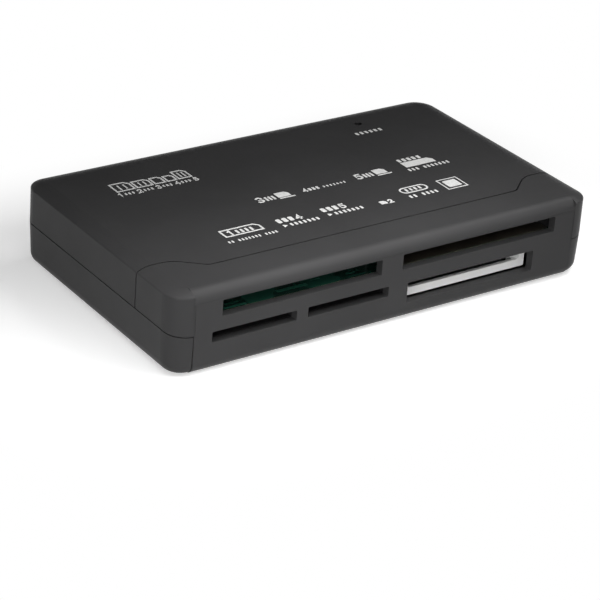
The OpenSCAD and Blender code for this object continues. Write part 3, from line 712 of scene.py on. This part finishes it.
class READER_OT_lamp(bpy.types.Operator):
    """Gives the status lamp its clear resin"""
    bl_idname = "reader.lamp"
    bl_label = "Status lamp"

    def execute(self, context):
        dress("lamp_clear", lamp_resin(context.scene.reader_finish))
        return {"FINISHED"}


# Steps that print the marks on the roof

# Width, height and cut corner of the outlined cards at the back, from left to right; where the first stands,
# and the space between two
TITLE_CARDS = ((4.5, 3.9, 1.0), (3.9, 3.2, 0.8), (2.5, 3.0, 0.7), (2.2, 2.6, 0.6), (3.2, 3.9, 0.9))
TITLE_X, TITLE_Y, TITLE_SPACE = -40.6, 17.0, 0.75
# A card wider than this has two upright lines, which stop short of its foot and of its cut corner, and their
# stroke
RIBBED_CARD, RIB_FOOT, RIB_HEAD, RIB_STROKE = 3, 0.8, 0.1, 0.36
# Row of numbers under the cards: its start and the step to the next number, their height and stroke, where the
# bars beside each but the last begin, and how many there are, their pitch, width and height
ROW_X, ROW_Y, ROW_STEP = -41.2, 14.6, 4.9
ROW_HEIGHT, ROW_STROKE = 1.45, 0.34
ROW_BARS_X, ROW_BARS_Y, ROW_BARS = 1.5, 0.15, ([3], 0.95, 0.45, 1.0)


class READER_OT_title(bpy.types.Operator):
    """Prints the five outlined cards and the numbers of their slots at the back of the roof"""
    bl_idname = "reader.title"
    bl_label = "Row of card outlines"

    def execute(self, context):
        settings = context.scene.reader_print
        pen = Inker(settings)
        x = TITLE_X
        for w, h, cut in TITLE_CARDS:
            pen.line(card(x, TITLE_Y, w, h, cut), closed=True)
            if w > RIBBED_CARD:
                for rib in (x + w / 3, x + w * 2 / 3):
                    pen.line([(rib, TITLE_Y + RIB_FOOT), (rib, TITLE_Y + h - cut - RIB_HEAD)], RIB_STROKE)
            x += w + TITLE_SPACE
        last = len(NUMBERS)
        for n in NUMBERS:
            x = ROW_X + (n - 1) * ROW_STEP
            pen.number(n, x, ROW_Y, ROW_HEIGHT, ROW_STROKE)
            if n < last:
                pen.ticks(x + ROW_BARS_X, ROW_Y + ROW_BARS_Y, *ROW_BARS)
        make_piece("print_title", pen.shapes, printing_ink(settings))
        return {"FINISHED"}


class READER_OT_slot_marks(bpy.types.Operator):
    """Prints the two rows of card marks with slot numbers behind the slots"""
    bl_idname = "reader.slot_marks"
    bl_label = "Slot marks"

    def execute(self, context):
        settings = context.scene.reader_print
        pen = Inker(settings)
        # Second row from the front, left to right
        pen.number(3, -15.0, -1.8, 2.2, 0.5)
        pen.ticks(-13.0, -1.8, [3], 0.95, 0.55, 1.9)
        pen.fill(card(-9.8, -1.5, 3.4, 2.3, 0.8))
        pen.bar(-9.8, -2.2, 4.1, 0.42)
        pen.number(4, -2.7, -1.5, 1.4, 0.36)
        pen.ticks(-1.3, -1.5, [3], 1.05, 0.65, 1.3)
        pen.ticks(2.6, -1.4, [7], 0.95, 0.4, 0.8)
        pen.number(5, 12.4, -1.3, 2.2, 0.5)
        pen.ticks(14.4, -1.3, [3], 0.95, 0.55, 1.9)
        pen.fill(card(17.6, -1.0, 3.2, 2.4, 0.8))
        pen.bar(17.6, -1.75, 4.0, 0.42)
        pen.fill(card(26.3, -0.9, 8.6, 2.6, 1.1))
        pen.ticks(26.4, 2.1, [5], 1.4, 0.85, 1.5)
        pen.ticks(25.8, -3.0, [3, 7], 1.1, 0.55, 1.2)
        # Row nearest to the slots, left to right
        pen.line(card(-31.2, -13.2, 9.6, 3.0, 1.0), closed=True)
        pen.number(1, -29.9, -12.7, 1.9, 0.42)
        pen.ticks(-27.9, -12.7, [4], 1.2, 0.6, 1.6)
        pen.ticks(-32.2, -16.1, [2, 7, 4], 0.86, 0.42, 0.95)
        for x, y, n in ((-17.2, -12.6, 4), (-5.1, -12.3, 5)):
            pen.ticks(x, y, [3], 1.6, 1.1, 1.9)
            pen.number(n, x + 5.1, y, 1.9, 0.45)
            pen.fill([(x + 0.2, y - 2.2), (x + 1.3, y - 1.55), (x + 0.2, y - 0.9)])
            pen.ticks(x + 2.0, y - 2.2, [7], 1.15, 0.6, 1.25)
        pen.fill(card(9.1, -14.8, 1.7, 1.5, 0.5))
        pen.number(2, 11.5, -14.8, 1.4, 0.4)
        pen.line(rounded(17.0, -12.4, 7.2, 2.5, 1.2), closed=True)
        pen.ticks(18.3, -11.8, [4], 1.25, 0.6, 1.3)
        pen.ticks(17.2, -15.0, [2, 4], 1.2, 0.6, 1.3)
        pen.line(rectangle(27.9, -15.0, 5.4, 4.9), 0.3, closed=True)
        pen.fill(rounded(28.8, -14.2, 3.6, 3.3, 0.3))
        make_piece("print_slot_marks", pen.shapes, printing_ink(settings))
        return {"FINISHED"}


class READER_OT_lamp_mark(bpy.types.Operator):
    """Prints the short row of bars beside the lamp hole"""
    bl_idname = "reader.lamp_mark"
    bl_label = "Lamp mark"

    def execute(self, context):
        settings = context.scene.reader_print
        pen = Inker(settings)
        pen.ticks(26.8, 19.5, [6], 1.35, 0.75, 1.3)
        make_piece("print_lamp_mark", pen.shapes, printing_ink(settings))
        return {"FINISHED"}


# Stage, in metres

# Fitted to the straight edges of the reader in the photo
CAMERA_YAW = math.radians(-36.24191)
CAMERA_PITCH = math.radians(27.357836)
CAMERA_ROLL = math.radians(4.215262)
CAMERA_SLIDE = (-1.256441 * MM, -8.242028 * MM)
SENSOR_WIDTH_MM = 36
NEAREST_SEEN = 0.01


def make_camera(s):
    """Camera on the photo's line of sight: turned by yaw, pitch and roll, and slid across its own view."""
    yaw, pitch, roll = CAMERA_YAW, CAMERA_PITCH, CAMERA_ROLL
    back = Vector((math.sin(yaw) * math.cos(pitch), -math.cos(yaw) * math.cos(pitch), math.sin(pitch)))
    right = Vector((math.cos(yaw), math.sin(yaw), 0))
    up = back.cross(right)
    across = math.cos(roll) * right + math.sin(roll) * up
    along = -math.sin(roll) * right + math.cos(roll) * up
    data = bpy.data.cameras.new("camera")
    data.lens = s.lens
    data.sensor_width = SENSOR_WIDTH_MM
    data.clip_start = NEAREST_SEEN
    camera = bpy.data.objects.new("camera", data)
    turn = Matrix((across, along, back)).transposed()
    place = back * s.distance + across * CAMERA_SLIDE[0] + along * CAMERA_SLIDE[1]
    camera.matrix_world = Matrix.Translation(place) @ turn.to_4x4()
    bpy.context.scene.collection.objects.link(camera)
    bpy.context.scene.camera = camera


# Name of each light and of the setting of its power, its place, the point that it faces, its width and
# height, and the angle that it spreads over in degrees
LIGHTS = (
    ("key_light", "key_power", (0.4015, 0, 0.583), (0, 0, 0.01), (0.3, 0.3), 180),
    ("low_light", "low_power", (0.525, -0.303, 0.36), (0, 0, 0.01), (0.3, 0.3), 180),
    ("strip_light", "strip_power", (0.02, -0.03, 0.08), (0.02, -0.03, 0.01), (0.26, 0.03), 110),
    ("short_light", "short_power", (-0.02, -0.05, 0.06), (-0.02, -0.03, 0.01), (0.11, 0.03), 110),
    ("front_light", "front_power", (0.04, -0.11, 0.12), (0, -0.02, 0.01), (0.08, 0.08), 120),
    ("face_light", "face_power", (-0.12, -0.32, 0.05), (0, 0, 0.01), (0.12, 0.06), 180),
    ("left_light", "left_power", (-0.15, -0.12, 0.035), (-0.05, -0.03, 0.01), (0.08, 0.05), 120),
    ("back_light", "back_power", (-0.12, 0.67, 0.155), (0, 0, 0.01), (0.3, 0.3), 180),
)


def make_light(name, power, place, aim, size, spread):
    """A rectangular soft light at a place, which faces a point; the camera doesn't see it."""
    data = bpy.data.lights.new(name, "AREA")
    data.shape = "RECTANGLE"
    data.size, data.size_y = size
    data.energy = power
    data.spread = math.radians(spread)
    lamp = bpy.data.objects.new(name, data)
    turn = (Vector(place) - Vector(aim)).to_track_quat("Z", "Y").to_matrix().to_4x4()
    lamp.matrix_world = Matrix.Translation(place) @ turn
    lamp.visible_camera = False
    bpy.context.scene.collection.objects.link(lamp)


WHITE = (1, 1, 1, 1)
# The paper's colour under the lamps, the share of plain white over it, and its colour for rays that bounce
PAPER_WHITE, PAPER_GLOW, PAPER_BOUNCE = 0.8, 0.46, 0.2
# How many lumps its grain has in a metre, and how much they lighten it
PAPER_GRAIN, GRAIN_SHADE = 900.0, 0.01
# Half width and half depth of the reader's outline without its corners, their radius, and the distances from
# the reader between which the paper turns plain white
INNER_HALF_WIDTH, INNER_HALF_DEPTH, CORNER_RADIUS = 0.051, 0.0276, 0.005
PAPER_FADE = (0.008, 0.045)
# How many quads the floor has along a side, and how far under the reader's flat underside it lies
FLOOR_CELLS, FLOOR_DROP = 8, 0.00004


def floor_material():
    """White paper that takes the shadow of the reader: rays that look at it meet paper lit by the lamps plus
    a share of plain white, and plain white alone some way off; other rays bounce off it more softly, and it
    is clear from below. How far off a spot is: its distance from the reader's outline without corners, less
    their radius."""
    mat = bpy.data.materials.new("white_floor")
    start = blank(mat)
    looks = ("Is Camera Ray", "Is Glossy Ray", "Is Transmission Ray")
    camera, glossy, through = [start.node("ShaderNodeLightPath", out=look) for look in looks]
    looked = camera.most(glossy).most(through)
    spot = start.node("ShaderNodeTexCoord", out="Object")
    grain = start.node("ShaderNodeTexNoise", None, {"Vector": spot, "Scale": PAPER_GRAIN, "Detail": 2.0})
    lit = start.node("ShaderNodeBsdfDiffuse", None, {"Color": PAPER_WHITE + grain * GRAIN_SHADE})
    glow = start.node("ShaderNodeEmission", {"name": "floor_glow"}, {"Color": WHITE, "Strength": PAPER_GLOW})
    near = start.node("ShaderNodeAddShader", None, {0: lit, 1: glow})
    far = start.node("ShaderNodeEmission", {"name": "far_white"}, {"Color": WHITE, "Strength": 1.0})
    x, y, _ = spot.split()
    beside = (abs(x) - INNER_HALF_WIDTH).most(0)
    before = (abs(y) - INNER_HALF_DEPTH).most(0)
    away = (beside * beside + before * before).root() - CORNER_RADIUS
    paper = start.node("ShaderNodeMixShader", None, {0: away.smooth(*PAPER_FADE), 1: near, 2: far})
    bounce = start.node("ShaderNodeBsdfDiffuse", None, {"Color": rgba((PAPER_BOUNCE,) * 3)})
    both = start.node("ShaderNodeMixShader", None, {0: looked, 1: bounce, 2: paper})
    below = start.node("ShaderNodeNewGeometry", out="Backfacing")
    clear = start.node("ShaderNodeBsdfTransparent")
    start.node("ShaderNodeMixShader", None, {0: below, 1: both, 2: clear}).surface("ShaderNodeOutputMaterial")
    return mat


def make_floor(side):
    """A flat square sheet just under the reader: points on an even grid from minus half a side to half a side
    both ways, and a quad between each four neighbours."""
    row = FLOOR_CELLS + 1
    line = np.linspace(-side / 2, side / 2, row)
    x, y = np.meshgrid(line, line)
    verts = np.stack([x, y, np.full_like(x, -FLOOR_DROP)], -1).reshape(-1, 3)
    i, j = np.meshgrid(np.arange(FLOOR_CELLS), np.arange(FLOOR_CELLS), indexing="ij")
    a = i * row + j
    faces = np.stack([a, a + 1, a + row + 1, a + row], -1).reshape(-1, 4)
    mesh = bpy.data.meshes.new("floor")
    mesh.from_pydata(verts.tolist(), [], faces.tolist())
    mesh.update()
    mesh.materials.append(floor_material())
    floor = bpy.data.objects.new("floor", mesh)
    bpy.context.scene.collection.objects.link(floor)


# Heights of a ray's direction, from 0 at the horizon to 1 overhead, between which white turns into the room
HORIZON_FADE = (0.02, 0.12)


def make_world(sky):
    """White seen by the camera; other rays meet white at the horizon and an even grey room above it."""
    world = bpy.data.worlds.new("studio")
    bpy.context.scene.world = world
    start = blank(world)
    height = start.node("ShaderNodeTexCoord", out="Generated").split()[2]
    horizon = 1 - height.smooth(*HORIZON_FADE)
    seen = start.node("ShaderNodeLightPath", out="Is Camera Ray")
    colour = horizon.most(seen).blend((sky,) * 3, WHITE)
    room = start.node("ShaderNodeBackground", {"name": "room"}, {"Color": colour, "Strength": 1.0})
    room.surface("ShaderNodeOutputWorld")


class READER_OT_stage(bpy.types.Operator):
    """Sets up the white floor, the soft lights and the camera"""
    bl_idname = "reader.stage"
    bl_label = "Floor, lights and camera"

    def execute(self, context):
        s = context.scene.reader_stage
        context.scene.view_settings.view_transform = "Standard"
        make_camera(s)
        make_floor(s.floor_size)
        make_world(s.sky)
        for name, power, *rest in LIGHTS:
            make_light(name, getattr(s, power), *rest)
        return {"FINISHED"}


STEPS = (READER_OT_housing, READER_OT_screws, READER_OT_board, READER_OT_sockets, READER_OT_contacts,
         READER_OT_small_parts, READER_OT_lamp, READER_OT_title, READER_OT_slot_marks, READER_OT_lamp_mark,
         READER_OT_stage)
GROUPS = {"reader_finish": FinishSettings, "reader_print": PrintSettings, "reader_stage": StageSettings}


class READER_PT_panel(bpy.types.Panel):
    """Sidebar panel with the settings and the steps in their order"""
    bl_idname = "READER_PT_panel"
    bl_label = "Memory card reader"
    bl_space_type = "VIEW_3D"
    bl_region_type = "UI"
    bl_category = "Reader"

    def draw(self, context):
        for group, kind in GROUPS.items():
            area = self.layout.box()
            for key in kind.__annotations__:
                area.prop(getattr(context.scene, group), key)
        for step in STEPS:
            self.layout.operator(step.bl_idname)


def register():
    for kind in (*GROUPS.values(), *STEPS, READER_PT_panel):
        bpy.utils.register_class(kind)
    for group, kind in GROUPS.items():
        setattr(bpy.types.Scene, group, PointerProperty(type=kind))


def unregister():
    for group in GROUPS:
        delattr(bpy.types.Scene, group)
    for kind in (READER_PT_panel, *reversed(STEPS), *GROUPS.values()):
        bpy.utils.unregister_class(kind)


def main():
    """Runs the steps in their order."""
    register()
    for step in STEPS:
        area, name = step.bl_idname.split(".")
        getattr(getattr(bpy.ops, area), name)()
    bpy.context.view_layer.update()


if __name__ == "__main__":
    main()
